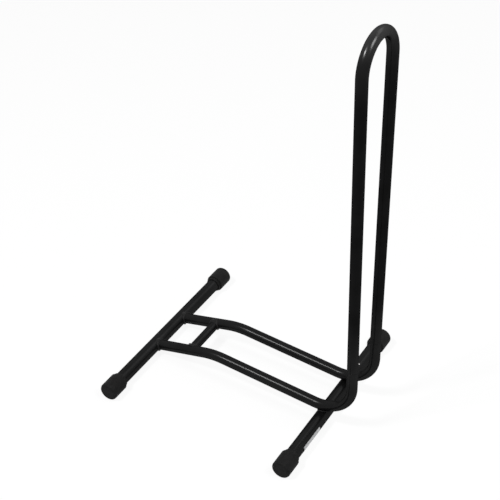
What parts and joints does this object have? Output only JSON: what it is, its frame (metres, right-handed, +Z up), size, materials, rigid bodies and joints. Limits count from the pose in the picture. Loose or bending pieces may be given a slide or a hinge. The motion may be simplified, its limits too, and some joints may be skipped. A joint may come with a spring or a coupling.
{
  "type": "floor bike rack",
  "caption": "Free-standing floor rack of welded round tube: a bicycle wheel stands between two low rails and leans inside a tall narrow hoop.",
  "frame": {"origin": "on the floor, under the middle of the rack's bounding box", "axes": "+Z up; +X from the rear cross tube towards the hoop; +Y to the left; the rack is mirror-symmetric about the XZ plane but for the label"},
  "size_m": [0.4059, 0.368, 0.709],
  "materials": {
    "black_coat": "black powder coat, low sheen",
    "foot_rubber": "black rubber, satin",
    "bare_steel": "bare steel, out of sight inside the legs",
    "label": "bare pale film"
  },
  "bodies": {
    "root": {"rear_cross_tube": "black_coat", "front_cross_tube": "black_coat", "spreader_tube": "black_coat", "hoop": "black_coat", "blank_label": "label", "base_rail_left": "black_coat", "leg_plug_left": "bare_steel", "rear_foot_left": "foot_rubber", "front_foot_left": "foot_rubber", "rear_weld_left": "black_coat", "spreader_weld_left": "black_coat", "front_weld_left": "black_coat", "base_rail_right": "black_coat", "leg_plug_right": "bare_steel", "rear_foot_right": "foot_rubber", "front_foot_right": "foot_rubber", "rear_weld_right": "black_coat", "spreader_weld_right": "black_coat", "front_weld_right": "black_coat"}
  },
  "joints": []
}
